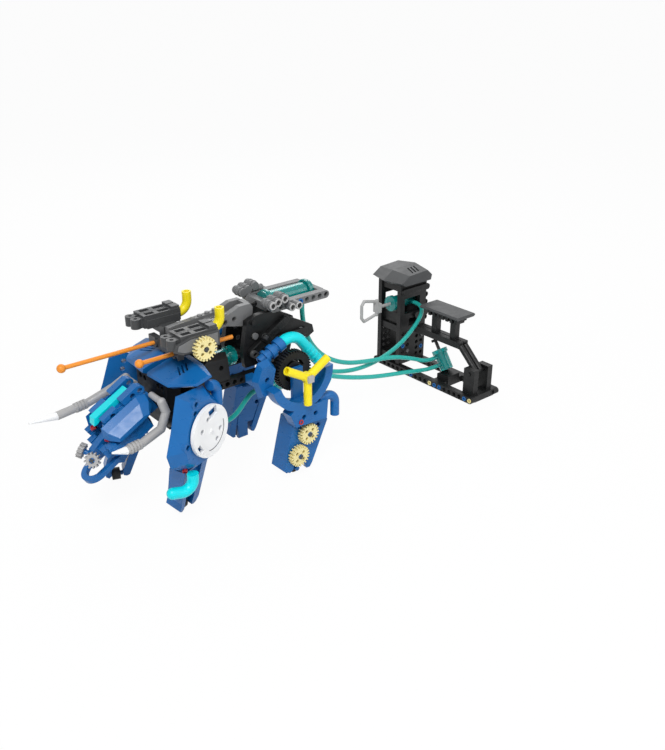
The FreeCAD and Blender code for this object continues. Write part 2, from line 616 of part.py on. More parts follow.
def front_leg(side, hand):
    """Front leg about its disc: the leg's own frame has Y along the shoulder axle."""
    place = shoulder_place(side)
    floor = -cell("shoulder_z")
    outline = [(-22, 24), (-12, 36), (24, 40), (34, 10), (42, -10), (38, -24), (22, -34), (-4, -34),
               (-14, -20), (-22, 0)]
    face = [(-16, 20), (-8, 28), (14, 31), (26, 8), (30, -8), (28, -20), (16, -28), (0, -28),
            (-8, -16), (-16, 0)]
    fender = faceted(outline, face, -17 * side, -5 * side)
    lobe = joined([rod(5, 11, at(12, -10.5 * side, 30), Y), rod(5, 11, at(14, -10.5 * side, 22), Y),
                   rod(5, 11, at(27, -10.5 * side, -5), Y), rod(6, 13, at(0, -10.5 * side, 0), Y)])
    elbow = joined([bend(10, "Sizes.tube_size / 2", at(-14, -11 * side, 26), 90, 90),
                    rod("Sizes.tube_size / 2", 12, at(-24, -11 * side, 20), Z)])
    bores = [rod(HOLE, 40, at(12, -11 * side, 30), Y), rod(HOLE, 40, at(14, -11 * side, 22), Y),
             rod(HOLE, 40, at(27, -11 * side, -5), Y), rod(BORE, 40, at(0, -20 * side, 0), Y)]
    thigh = cut(joined([fender, lobe, elbow]), bores)
    inner = -22 * side
    lean, tilt, hook_inset, hook_turn = STANCE[hand]
    knee = at(0, inner, KNEE)
    tilted = Placement(Vector(0, 0, 0), Rotation(X, -tilt * side), knee)
    drop = math.cos(math.radians(tilt))
    top = KNEE + 6
    low = KNEE + (floor - KNEE) / drop
    roller_z = KNEE + (floor + cell("roller_size") / 2 - KNEE) / drop
    walls = [plate([(-8, top), (0, top), (13 + lean, low + 11), (13 + lean, low + 6), (10 + lean, low + 5),
                    (7 + lean, low + 6), (4 + lean, low + 12)], 17, inner),
             plate([(17, top), (26, top), (30 + lean, low + 16), (30 + lean, low + 7), (27 + lean, low + 5),
                    (24.5 + lean, low + 7), (24.5 + lean, low + 11)], 17, inner)]
    web = plate([(-5, top), (22, top), (27 + lean, low + 19), (11 + lean, low + 19)], 5, -27 * side)
    rung = plate([(-4, KNEE - 6), (22, KNEE - 6), (22, KNEE - 12), (-2, KNEE - 12)], 10, inner)
    crown = box((31, 17, 5), at(9.5, inner, top - 2.6))
    axle = rod(AXLE, 14, at(20 + lean, inner, roller_z), X)
    studs = [rod(HOLE, 30, at(x + share * lean, inner, z), Y)
             for x, z, share in ((5, -51, 0.3), (15, -52, 0.3), (11, -60, 0.5), (19, -61, 0.5))]
    shin = posed(cut(joined(walls + [web, rung, crown, axle]), studs), tilted)
    shin = cut(shin, [box((80, 80, 20), at(10, inner, KNEE + 10))])
    node(f"front_leg_{hand}", thigh, shin, place=place)

    tyre = rod("Sizes.roller_size / 2", 8, at(19.75 + lean, inner, roller_z), X)
    tyre = cut(tyre, [rod(BORE, 30, at(20 + lean, inner, roller_z), X)])
    node(f"front_roller_{hand}", posed(tyre, tilted), place=place)

    disc = rod("Sizes.disc_size / 2", 3.5, at(0, -2.2 * side, 0), Y)
    marks = [rod(1.6, 12, at(0, 0, 0), Y)]
    for angle in (20, 75, 190, 235):
        spot = (13 * math.cos(math.radians(angle)), 13 * math.sin(math.radians(angle)))
        marks.append(rod(2.2, 12, at(spot[0], 0, spot[1]), Y))
    marks.append(box((11, 12, 8), at(-4, 0, 17), Rotation(Y, 12)))
    marks.append(box((4, 12, 9), at(16, 0, -11), Rotation(Y, 30)))
    node(f"front_disc_{hand}", cut(disc, marks), place=place)

    ring = 10
    tube = "Sizes.tube_size / 2 + 0.3"
    leave = math.radians(285)
    run_start = at(ring + ring * math.cos(leave), 0, KNEE - 5 + ring * math.sin(leave))
    run_end = run_start + at(-math.sin(leave), 0, math.cos(leave)) * 9
    hook = joined([rod(tube, 5, at(0, 0, KNEE - 2.5), Z), bend(ring, tube, at(ring, 0, KNEE - 5), 180, 105),
                   span(tube, run_start, run_end), ball(5.3, run_end)])
    turn = Placement(at(21, -hook_inset * side, 0), Rotation(Z, -hook_turn * side))
    node(f"front_hook_{hand}", posed(hook, turn), place=place)


REAR_FOOT = -59.0
GEAR_SPOTS = ((-69, 45), (-57, 24.2))


def rear_leg(side, hand):
    hip_x = cell("hip_x")
    hip_z = cell("hip_z")
    radius = cell("roller_size") / 2
    fender = cut(rod(36, 13, at(hip_x, 61.5 * side, hip_z), Y),
                 [rod(27, 20, at(hip_x, 61.5 * side, hip_z), Y),
                  box((90, 20, 60), at(hip_x + 6, 61.5 * side, hip_z + 26), Rotation(Y, 8))])
    hanger = box((12, 4, 46), at(hip_x, 57.2 * side, hip_z - 18))
    thigh = plate([(-88, 58), (-50, 60), (-44, 74), (-50, 80), (-72, 78), (-90, 78)], 13, 61.5 * side)
    hook = joined([bend(10, 4.6, at(-94, 61 * side, 68), 90, 90), rod(4.6, 14, at(-104, 61 * side, 61), Z),
                   rod(4.6, 12, at(-88, 61 * side, 78), X)])
    face = plate([(-54, 62), (-94, 58), (-96, 50), (-76, 8), (-73, 4), (-69, 4), (-66, 11), (-64, 15), (-54, 15),
                  (-52, 8), (-48, 6), (-41, 10)], 5, 56.5 * side)
    front_wall = plate([(-54, 62), (-61, 62), (-50, 14), (-49, 5), (-46, 5), (-41, 10)], 18, 47 * side)
    rear_wall = plate([(-94, 58), (-96, 50), (-76, 8), (-73, 4), (-70, 5), (-70, 10), (-87, 50), (-86, 59)],
                      18, 47 * side)
    web = plate([(-60, 60), (-88, 58), (-84, 44), (-72, 18), (-52, 18)], 4, 40 * side)
    axle = rod(AXLE, 19, at(REAR_FOOT, 47.5 * side, radius), Y)
    tab = box((12, 4, 20), at(REAR_FOOT, 40 * side, 12))
    pins = [rod(AXLE, 12, at(x, 60 * side, z), Y) for x, z in GEAR_SPOTS]
    holes = [rod(HOLE, 70, at(x, 58 * side, z), Y) for x, z in ((-84, 48), (-78, 38), (-74, 68), (-60, 68))]
    holes.append(rod(BORE, 30, at(hip_x, 60 * side, hip_z), Y))
    solid = joined([fender, hanger, thigh, hook, face, front_wall, rear_wall, web, axle, tab] + pins)
    node(f"rear_leg_{hand}", cut(solid, holes))

    tyre = rod("Sizes.roller_size / 2", 9, at(REAR_FOOT, 47.5 * side, radius), Y)
    node(f"rear_roller_{hand}", cut(tyre, [rod(BORE, 30, at(REAR_FOOT, 47.5 * side, radius), Y)]))
    for (x, z), level in zip(GEAR_SPOTS, ("upper", "lower")):
        wheel = gear(20, "gear_tip", "gear_root", "Sizes.gear_thick", at(x, 62.4 * side, z), windows=4)
        node(f"leg_gear_{level}_{hand}", wheel)


def propeller(side, hand):
    """Three hollow blades on a hub, free on the hip axle."""
    hip = at(cell("hip_x"), 74 * side, cell("hip_z"))
    parts = [rod(5.2, 8, hip, Y)]
    tools = [rod(BORE, 30, hip, Y)]
    for angle in (270, 150, 30):
        way = Vector(math.cos(math.radians(angle)), 0, math.sin(math.radians(angle)))
        end = hip + way * cell("blade_length") * SCALE
        parts.append(span(4, hip + way * 3 * SCALE, end))
        tools.append(span(2.5, hip + way * 10 * SCALE, end + way))
    node(f"propeller_{hand}", cut(joined(parts), tools))


# ---------------------------------------------------------------- controller

def cylinders():
    """The four other cylinders: one in the body, one under it, two in the controller."""
    tower = (cell("tower_x"), cell("tower_y"))
    body = joined([rod("Sizes.barrel_size / 2", 30, at(-12, 0, 120.3), X),
                   rod("Sizes.barrel_size / 2 + 1.6", 6, at(-22, 0, 120.3), X)])
    belly = joined([rod("Sizes.barrel_size / 2", 40, at(-84, 0, 74), X),
                    box((12, 10, 20), at(-72, 0, 86)),
                    rod("Sizes.hose_size / 2", 6, at(-107, -6, 74), X),
                    rod("Sizes.hose_size / 2", 6, at(-107, 6, 74), X),
                    rod("Sizes.hose_size / 2", 6, at(-61, 0, 74), X)])
    grip = joined([rod("Sizes.barrel_size / 2", 37, at(tower[0] + 2.5, tower[1], 84), X),
                   rod("Sizes.barrel_size / 2 + 1.6", 5, at(tower[0] + 18.5, tower[1], 84), X)])
    grip = cut(grip, [rod(6.5, 28, at(tower[0] + 2, tower[1], 84), X),
                      rod("Sizes.rod_size / 2 + 0.1", 30, at(tower[0] + 16, tower[1], 84), X)])
    port = rod("Sizes.hose_size / 2", 8, at(tower[0] - 6, tower[1] + 11, 84), Y)
    node("drive_cylinders", body, belly, joined([grip, port]), pump_barrel())


PUMP_TILT = 35.0


def pump_place():
    """The pump's own frame: +Z up its barrel, leaning towards the tower."""
    return Placement(at(cell("tower_x"), cell("tower_y") + 84, 14), Rotation(X, PUMP_TILT))


def pump_barrel():
    barrel = joined([rod("Sizes.barrel_size / 2", 26, at(0, 0, 17), Z),
                     rod("Sizes.barrel_size / 2 + 1.6", 5, at(0, 0, 27.5), Z),
                     rod("Sizes.hose_size / 2", 8, at(11, 0, 22), X),
                     rod("Sizes.hose_size / 2", 8, at(11, 0, 12), X)])
    barrel = cut(barrel, [rod(6.5, 20, at(0, 0, 16), Z), rod("Sizes.rod_size / 2 + 0.1", 20, at(0, 0, 30), Z)])
    return posed(barrel, pump_place())


def controller():
    tower_x = cell("tower_x")
    tower_y = cell("tower_y")
    top = cell("tower_height")
    base_end = tower_y - 24 + cell("base_length")
    count = int(cell("base_length") // STANDARD_PITCH)
    parts = []
    for x in (-20, 20):
        parts.append(beam(count, at(tower_x + x, tower_y - 20, BEAM_WIDTH / SCALE / 2), Y, -X))
    for y in (tower_y - 12, tower_y + 84, base_end - 10):
        parts.append(box((40 - BEAM_WIDTH / SCALE + 0.4, 16, BEAM), at(tower_x, y, BEAM_WIDTH / SCALE / 2)))
    for x in (-12, 12):
        post = box((8, 16, 34), at(tower_x + x, base_end - 14, 17 + BEAM_WIDTH / SCALE / 2))
        parts.append(cut(post, [rod(BORE, 60, lever_pin(), X)]))
    saddle = box((20, 18, 12), at(tower_x, tower_y + 84, 8))
    parts.append(cut(saddle, [posed(box((30, 40, 30), at(0, 0, 19)), pump_place())]))
    node("controller_base", joined(parts))

    frame = []
    for side, _ in SIDES:
        wall = box((44, 6, top - 8), at(tower_x, tower_y + 17 * side, 8 + (top - 8) / 2))
        holes = []
        for row in range(5):
            for x in (-16, -8, 8, 16):
                holes.append(rod(HOLE, 20, at(tower_x + x, tower_y + 17 * side, 16 + 8 * row), Y))
        holes.append(box((26, 20, 20), at(tower_x + 2, tower_y + 17 * side, 84)))
        holes.append(box((14, 20, 10), at(tower_x, tower_y + 17 * side, 62)))
        frame.append(cut(wall, holes))
    for z in (14, 54, top - 5):
        frame.append(box((40, 30, 8), at(tower_x, tower_y, z)))
    frame.append(box((6, 30, 56), at(tower_x - 19, tower_y, 84)))
    frame.append(box((6, 30, 14), at(tower_x + 14, tower_y, 66)))
    node("controller_tower", joined(frame))

    outline = [(-28, 0), (26, 0), (34, 5), (18, 15), (-20, 17), (-30, 8)]
    halves = [faceted(outline, shrink(outline, 0.8, (-2, 3)), 0, 26 * side) for side, _ in SIDES]
    slots = [box((2, 16, 30), at(-8 + 5 * index, 14, 12), Rotation(Z, -20)) for index in range(3)]
    cover = cut(joined(halves), slots)
    node("tower_panel", posed(cover, Placement(at(tower_x, tower_y, top + 0.1), Rotation())))

    ring_x = tower_x + 52
    ring = [rod("Sizes.rod_size / 2", 41, at(tower_x + 22.5, tower_y, 84), X),
            rod(6.4, 6, at(tower_x + 2, tower_y, 84), X),
            box((6, 9, 12), at(tower_x + 42, tower_y, 84))]
    corners = ((ring_x - 9, 92), (ring_x + 12, 97), (ring_x + 16, 92), (ring_x + 16, 76), (ring_x + 12, 71),
               (ring_x - 9, 76))
    for start, end in zip(corners, corners[1:]):
        ring.append(span(1.9, at(start[0], tower_y, start[1]), at(end[0], tower_y, end[1])))
        ring.append(ball(1.9, at(start[0], tower_y, start[1])))
    ring.append(ball(1.9, at(corners[-1][0], tower_y, corners[-1][1])))
    ring.append(rod(2.2, 21, at(ring_x - 9, tower_y, 84), Z))
    node("ring_pull", joined(ring))


def lever_pin():
    return at(cell("tower_x"), cell("tower_y") - 24 + cell("base_length") - 14, 32)


def palm_lever():
    """A hinged frame over the pump, with the flat panel that the palm presses."""
    tower_x = cell("tower_x")
    tower_y = cell("tower_y")
    hinge_y = tower_y - 24 + cell("base_length") - 14
    parts = [rod(AXLE, 34, lever_pin(), X)]
    sides = []
    for x in (-4, 4):
        rail = joined([span(3.4, at(tower_x + x, hinge_y, 32), at(tower_x + x, hinge_y - 26, 56)),
                       box((6.8, 74, 7.8), at(tower_x + x, hinge_y - 62, 57))])
        sides.append(rail)
    parts += sides
    parts.append(box((14.8, 12, 7.8), at(tower_x, hinge_y - 94, 57)))
    for y in (-40, -70):
        parts.append(box((8, 8, 30), at(tower_x, hinge_y + y, 75)))
    for index in range(7):
        parts.append(box((14, 4, 5), at(tower_x, hinge_y - 34 - 7 * index, 84)))
    parts.append(box((12, 52, 4), at(tower_x, hinge_y - 54, 88)))
    node("palm_lever", joined(parts))
    outline = [(-14, 90), (14, 90), (16, 92), (14, 94), (-14, 94), (-16, 92)]
    slab = plate(outline, 60, 0)
    node("palm_panel", posed(slab, Placement(at(tower_x, hinge_y - 54, 0.1), Rotation())))
    plunger = joined([rod("Sizes.rod_size / 2", 22, at(0, 0, 31), Z), rod(6.4, 6, at(0, 0, 20), Z),
                      rod(5, 3, at(0, 0, 42.2), Z)])
    node("pump_plunger", posed(plunger, pump_place()))


# ---------------------------------------------------------------- pins and hoses

def pins():
    """Connector pins whose heads show on the root body."""
    heads = []
    for side, _ in SIDES:
        for x, z in ((-42, 130), (-40, 142), (-95, 134)):
            y = 16 * side
            stem = rod("Sizes.hole_size / 2", 6, at(x, y, z), Y)
            head = rod(3.2, 2, at(x, y + 4 * side, z), Y)
            heads.append(joined([stem, head]))
    node("frame_pins", *heads)


# Each hose is a list of places chosen by hand; the tube is straight runs joined by tangent arcs.
HOSE_ROUTES = {
    "hose_tail": ((-112, 0, 150), (-112, 0, 134), (-121, -1, 108), (-142, -3, 84), (-174, -6, 66), (-212, -8, 57),
                  (-250, -8, 52), (-280, -6, 42), (-303, -4.6, 32), (-315, -4.6, 32)),
    "hose_tower": ((-336, -61, 84), (-336, -52, 84), (-331, -41, 81), (-319, -34, 74), (-303, -30, 65),
                   (-284, -25, 58), (-262, -20, 53), (-236, -15, 50), (-208, -11, 50), (-180, -8, 54),
                   (-154, -6.5, 62), (-131, -6, 71), (-119, -6, 74), (-110, -6, 74)),
    "hose_pump": ((-315, 1.1, 23.8), (-303, 1.1, 23.8), (-286, 1.5, 27), (-262, 2, 32), (-236, 3, 37),
                  (-208, 4, 43), (-180, 5, 51), (-154, 5.5, 60), (-131, 6, 70), (-119, 6, 74), (-110, 6, 74)),
    "hose_belly": ((-58, 0, 74), (-48, 0, 74), (-36, 4, 69), (-22, 10, 62), (-8, 13.4, 59), (5, 14, 63.5),
                   (15, 13.4, 71), (23, 12.8, 79), (32, 12, 84), (42, 12, 84)),
}
ARC_SHARE = 0.45


def hose_path(points):
    """Straight runs joined by arcs, each as large as its two runs allow."""
    edges = []
    radii = []
    last = points[0]
    for before, corner, after in zip(points, points[1:], points[2:]):
        back = before - corner
        onward = after - corner
        reach = ARC_SHARE * min(back.Length, onward.Length)
        back.normalize()
        onward.normalize()
        half_turn = (math.pi - back.getAngle(onward)) / 2
        radius = reach / math.tan(half_turn)
        radii.append(radius)
        start = corner + back * reach
        end = corner + onward * reach
        inward = (back + onward).normalize()
        middle = corner + inward * (math.hypot(radius, reach) - radius)
        edges.append(Part.LineSegment(last, start).toShape())
        edges.append(Part.Arc(start, middle, end).toShape())
        last = end
    edges.append(Part.LineSegment(last, points[-1]).toShape())
    return Part.Wire(edges), radii


def hoses():
    radius = cell("hose_size") / 2
    for name, route in HOSE_ROUTES.items():
        points = [at(*place) for place in route]
        path, radii = hose_path(points)
        ring = Part.Wire(Part.Circle(points[0], points[1] - points[0], radius).toShape())
        tube = doc.addObject("Part::Feature", "Hose")
        tube.Shape = path.makePipeShell([ring], True, False)
        share = tube.Shape.Volume / (math.pi * radius ** 2 * path.Length)
        print(name, "length", round(path.Length), "volume share", round(share, 4),
              "radii", [round(size) for size in radii])
        node(name, tube)


def main():
    spine()
    bulkhead()
    shoulder_shields()
    body_sides()
    rear_tower()
    flank_panels()
    turntables()
    exhausts()
    tail()
    gun_arm()
    turret()
    guns()
    darts()
    head()
    jaw()
    tusks()
    for side, hand in SIDES:
        front_leg(side, hand)
        rear_leg(side, hand)
        propeller(side, hand)
    cylinders()
    controller()
    palm_lever()
    pins()
    hoses()
    finish()


def finish():
    """Recompute, refuse anything failed, and write one file for each node."""
    doc.recompute()
    for item in doc.Objects:
        if "Invalid" in item.State or "Error" in item.State:
            raise RuntimeError(f"{item.Label} failed: {item.State}")
    os.makedirs("parts", exist_ok=True)
    for item in NODES:
        if item.Shape.isNull() or not item.Shape.isValid() or not item.Shape.Solids:
            raise RuntimeError(f"{item.Label} has no valid shape")
        item.Shape.exportStep(f"parts/{item.Label}.step")
        print(item.Label, len(item.Shape.Solids), round(item.Shape.Volume))


main()
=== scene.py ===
"""Looks of the hydraulic walking kit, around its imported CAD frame. Everything is in metres."""
import json
import math

import bmesh
import bpy
from mathutils import Matrix, Vector


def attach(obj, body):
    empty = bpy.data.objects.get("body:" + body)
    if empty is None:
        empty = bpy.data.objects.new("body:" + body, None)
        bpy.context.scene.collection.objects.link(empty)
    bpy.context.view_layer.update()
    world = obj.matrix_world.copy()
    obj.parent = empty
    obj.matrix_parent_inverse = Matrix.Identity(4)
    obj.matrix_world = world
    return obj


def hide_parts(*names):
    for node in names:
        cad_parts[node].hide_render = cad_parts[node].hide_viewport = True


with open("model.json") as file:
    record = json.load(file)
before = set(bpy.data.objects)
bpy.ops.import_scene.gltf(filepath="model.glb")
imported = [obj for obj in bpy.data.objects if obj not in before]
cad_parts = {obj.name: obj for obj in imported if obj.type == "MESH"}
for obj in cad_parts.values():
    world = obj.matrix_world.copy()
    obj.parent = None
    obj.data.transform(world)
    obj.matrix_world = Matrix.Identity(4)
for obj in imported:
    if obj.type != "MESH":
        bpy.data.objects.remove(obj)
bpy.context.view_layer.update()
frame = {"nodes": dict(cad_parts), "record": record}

ORIGIN = Vector((0.09861, 0.01175, 0.0))
KIT = Matrix.Translation(ORIGIN)
SIDES = ((1, "left"), (-1, "right"))
HOLE_STEP = 8


# ---------------------------------------------------------------- camera

def make_camera():
    azimuth = math.radians(40)
    elevation = math.radians(25)
    toward = Vector((math.sin(azimuth) * math.cos(elevation), math.cos(azimuth) * math.cos(elevation),
                     math.sin(elevation)))
    data = bpy.data.cameras.new("view_camera")
    data.sensor_width = 36
    data.lens = 40.8
    data.clip_start = 0.01
    camera = bpy.data.objects.new("view_camera", data)
    camera.location = ORIGIN + Vector((0.383, 0.638, 0.449))
    camera.rotation_euler = (-toward).to_track_quat("-Z", "Y").to_euler()
    bpy.context.scene.collection.objects.link(camera)
    bpy.context.scene.camera = camera


make_camera()


# ---------------------------------------------------------------- materials

def link(tree, a, a_out, b, b_in):
    tree.links.new(a.outputs[a_out], b.inputs[b_in])


def node(tree, kind, **values):
    made = tree.nodes.new(kind)
    for key, value in values.items():
        setattr(made, key, value)
    return made


def mix_colour(tree, factor, a, b, blend="MIX"):
    """A colour mix; a and b are sockets or colours, factor a socket or a number."""
    mixer = node(tree, "ShaderNodeMix", data_type="RGBA", blend_type=blend)
    for socket, value in ((0, factor), (6, a), (7, b)):
        if hasattr(value, "is_output"):
            tree.links.new(value, mixer.inputs[socket])
        elif socket == 0:
            mixer.inputs[0].default_value = value
        else:
            mixer.inputs[socket].default_value = (*value[:3], 1.0)
    return mixer.outputs[2]


def remap(tree, value, low, high, to_low, to_high):
    ranged = node(tree, "ShaderNodeMapRange")
    tree.links.new(value, ranged.inputs[0])
    for index, number in enumerate((low, high, to_low, to_high), start=1):
        ranged.inputs[index].default_value = number
    return ranged.outputs[0]


def noise(tree, place, scale, detail=3.0, rough=0.5, stretch=None):
    texture = node(tree, "ShaderNodeTexNoise")
    texture.inputs["Scale"].default_value = scale
    texture.inputs["Detail"].default_value = detail
    texture.inputs["Roughness"].default_value = rough
    if stretch:
        mapping = node(tree, "ShaderNodeMapping")
        mapping.inputs["Scale"].default_value = stretch
        tree.links.new(place, mapping.inputs["Vector"])
        place = mapping.outputs["Vector"]
    tree.links.new(place, texture.inputs["Vector"])
    return texture.outputs["Fac"]


def moulded(name, colour, rough=0.3, coat=0.0, soft=0.00045, grain=0.00002, clear=0.0):
    """Moulded plastic: slow colour drift, rounded edges with a painted highlight that lightens them in
    patches, faint flow marks and a fine grain.
    """
    material = bpy.data.materials.new(name)
    material.use_nodes = True
    tree = material.node_tree
    shader = tree.nodes["Principled BSDF"]
    place = node(tree, "ShaderNodeTexCoord").outputs["Object"]
    drift = noise(tree, place, 28, 2.0)
    flow = noise(tree, place, 90, 3.0, 0.6, (1.0, 1.0, 2.6))
    fine = noise(tree, place, 2200, 2.0, 0.6)
    highlight_patches = noise(tree, place, 260, 4.0, 0.7, (1.0, 6.0, 1.0))

    # Painted edge highlight: where the Bevel node's rounded normal leaves the flat one, the colour is mixed
    # towards a lighter tone, in streaky patches.
    rounded = node(tree, "ShaderNodeBevel", samples=6)
    rounded.inputs["Radius"].default_value = soft
    flat = node(tree, "ShaderNodeNewGeometry")
    compare = node(tree, "ShaderNodeVectorMath", operation="DOT_PRODUCT")
    link(tree, rounded, "Normal", compare, 0)
    link(tree, flat, "Normal", compare, 1)
    edge = remap(tree, compare.outputs["Value"], 0.985, 0.86, 0.0, 1.0)
    painted_edge_highlight = node(tree, "ShaderNodeMath", operation="MULTIPLY")
    tree.links.new(edge, painted_edge_highlight.inputs[0])
    tree.links.new(remap(tree, highlight_patches, 0.35, 0.65, 0.02, 0.3), painted_edge_highlight.inputs[1])

    deep = tuple(channel * 0.93 for channel in colour[:3])
    pale = tuple(min(1.0, channel * 1.06 + 0.001) for channel in colour[:3])
    # light is the lighter tone of the painted edge highlight.
    light = tuple(min(1.0, channel * 1.35 + 0.012) for channel in colour[:3])
    base = mix_colour(tree, remap(tree, drift, 0.3, 0.7, 0.0, 1.0), deep, pale)
    base = mix_colour(tree, painted_edge_highlight.outputs[0], base, light)
    tree.links.new(base, shader.inputs["Base Color"])
    tree.links.new(remap(tree, flow, 0.3, 0.7, rough * 0.8, rough * 1.25), shader.inputs["Roughness"])

    height = node(tree, "ShaderNodeMath", operation="MULTIPLY_ADD")
    tree.links.new(flow, height.inputs[0])
    height.inputs[1].default_value = 0.7
    tree.links.new(fine, height.inputs[2])
    bump = node(tree, "ShaderNodeBump")
    bump.inputs["Strength"].default_value = 0.25
    bump.inputs["Distance"].default_value = grain
    link(tree, height, 0, bump, "Height")
    link(tree, rounded, "Normal", bump, "Normal")
    link(tree, bump, "Normal", shader, "Normal")
    shader.inputs["IOR"].default_value = 1.46
    shader.inputs["Specular IOR Level"].default_value = 0.4
    shader.inputs["Coat Weight"].default_value = coat
    shader.inputs["Coat Roughness"].default_value = 0.12
    shader.inputs["Transmission Weight"].default_value = clear
    return material


LOOKS = {
    "blue_plastic": moulded("blue_moulded", (0.004, 0.12, 0.37), 0.31),
    "cyan_plastic": moulded("cyan_moulded", (0.0, 0.68, 0.74), 0.34),
    "black_plastic": moulded("black_moulded", (0.0035, 0.0038, 0.0042), 0.46),
    "dark_grey_plastic": moulded("dark_grey_moulded", (0.052, 0.054, 0.056), 0.42),
    "mid_grey_plastic": moulded("mid_grey_moulded", (0.15, 0.152, 0.155), 0.42),
    "light_grey_plastic": moulded("light_grey_moulded", (0.4, 0.395, 0.39), 0.36),
    "white_plastic": moulded("white_moulded", (0.87, 0.87, 0.87), 0.34),
    "beige_plastic": moulded("cream_moulded", (0.83, 0.72, 0.34), 0.38),
    "yellow_plastic": moulded("yellow_moulded", (0.88, 0.72, 0.01), 0.34),
    "orange_plastic": moulded("orange_moulded", (0.82, 0.28, 0.03), 0.4),
    "teal_clear_plastic": moulded("teal_clear_moulded", (0.005, 0.4, 0.38), 0.14, 0.3, clear=0.55),
    "teal_hose": moulded("teal_tubing", (0.02, 0.46, 0.4), 0.34, 0.1, clear=0.08),
    "tyre_rubber": moulded("black_rubber", (0.008, 0.008, 0.0085), 0.62, grain=0.00005),
    "red_plastic": moulded("red_moulded", (0.42, 0.012, 0.02), 0.3, 0.2),
}
for sub in frame["record"]["subparts"]:
    mesh = frame["nodes"][sub["node"]].data
    mesh.materials.clear()
    mesh.materials.append(LOOKS[sub["material_slot"]])
    mesh.polygons.foreach_set("material_index", [0] * len(mesh.polygons))


# ---------------------------------------------------------------- hoses

HOSE_ROUTES = {
    "hose_tail": (0.257, ((-0.112, 0, 0.150), (-0.112, 0, 0.134), (-0.121, -0.001, 0.108),
                          (-0.142, -0.003, 0.084), (-0.174, -0.006, 0.066), (-0.212, -0.008, 0.057),
                          (-0.250, -0.008, 0.052), (-0.280, -0.006, 0.042), (-0.303, -0.0046, 0.032),
                          (-0.315, -0.0046, 0.032))),
    "hose_tower": (0.256, ((-0.336, -0.061, 0.084), (-0.336, -0.052, 0.084), (-0.331, -0.041, 0.081),
                           (-0.319, -0.034, 0.074), (-0.303, -0.030, 0.065), (-0.284, -0.025, 0.058),
                           (-0.262, -0.020, 0.053), (-0.236, -0.015, 0.050), (-0.208, -0.011, 0.050),
                           (-0.180, -0.008, 0.054), (-0.154, -0.0065, 0.062), (-0.131, -0.006, 0.071),
                           (-0.119, -0.006, 0.074), (-0.110, -0.006, 0.074))),
    "hose_pump": (0.212, ((-0.315, 0.0011, 0.0238), (-0.303, 0.0011, 0.0238), (-0.286, 0.0015, 0.027),
                          (-0.262, 0.002, 0.032), (-0.236, 0.003, 0.037), (-0.208, 0.004, 0.043),
                          (-0.180, 0.005, 0.051), (-0.154, 0.0055, 0.060), (-0.131, 0.006, 0.070),
                          (-0.119, 0.006, 0.074), (-0.110, 0.006, 0.074))),
    "hose_belly": (0.112, ((-0.058, 0, 0.074), (-0.048, 0, 0.074), (-0.036, 0.004, 0.069),
                           (-0.022, 0.010, 0.062), (-0.008, 0.0134, 0.059), (0.005, 0.014, 0.0635),
                           (0.015, 0.0134, 0.071), (0.023, 0.0128, 0.079), (0.032, 0.012, 0.084),
                           (0.042, 0.012, 0.084))),
}
HOSE_DIAMETER = 0.005


def make_hose(name, route):
    places = [Vector(place) + ORIGIN for place in route]
    curve = bpy.data.curves.new(f"{name}_tube", "CURVE")
    curve.dimensions = "3D"
    curve.resolution_u = 12
    curve.bevel_depth = HOSE_DIAMETER / 2
    curve.bevel_resolution = 5
    curve.use_fill_caps = True
    spline = curve.splines.new("NURBS")
    spline.points.add(len(places) - 1)
    for point, place in zip(spline.points, places):
        point.co = (*place, 1.0)
    spline.order_u = 3
    spline.use_endpoint_u = True
    tube = bpy.data.objects.new(f"{name}_tube", curve)
    bpy.context.scene.collection.objects.link(tube)
    curve.materials.append(LOOKS["teal_hose"])
    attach(tube, "root")
    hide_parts(name)


for hose_name, (hose_length, hose_route) in HOSE_ROUTES.items():
    make_hose(hose_name, hose_route)


# ---------------------------------------------------------------- trim pieces

def mm(x, y, z):
    return Vector((x, y, z)) / 1000


def facing(point, way, frame_of=KIT):
    """A place whose own Z looks along way; point and way are in the given frame, point in mm."""
    turn = Vector(way).normalized().to_track_quat("Z", "Y").to_matrix().to_4x4()
    return frame_of @ Matrix.Translation(mm(*point)) @ turn


HEAD = KIT @ Matrix.Translation(mm(70, 0, 100)) @ Matrix.Rotation(math.radians(30), 4, "Y")


SIDE_ON = Matrix.Rotation(math.radians(90), 4, "X")


def shoulder(side):
    return KIT @ Matrix.Translation(mm(43, 68 * side, 89)) @ Matrix.Rotation(math.radians(20 * side), 4, "Z")


# Each front foot's place ahead of its knee in mm and its shin's tilt in degrees, as in the CAD source.
STANCE = {"left": (-13, 18), "right": (13, 9)}
KNEE = -34.1


def shin(side, hand):
    knee = Matrix.Translation(mm(0, -22 * side, KNEE))
    tilt = Matrix.Rotation(math.radians(-STANCE[hand][1] * side), 4, "X")
    return shoulder(side) @ knee @ tilt @ knee.inverted()


def snout_way(side):
    return Vector((0.361, 0.72 * side, 0.592)).normalized()


# The record has no red slot; the few red pieces use a red finish of their own in LOOKS.
SMOOTH_ANGLE = math.radians(32)
BEVEL_ANGLE = math.radians(40)


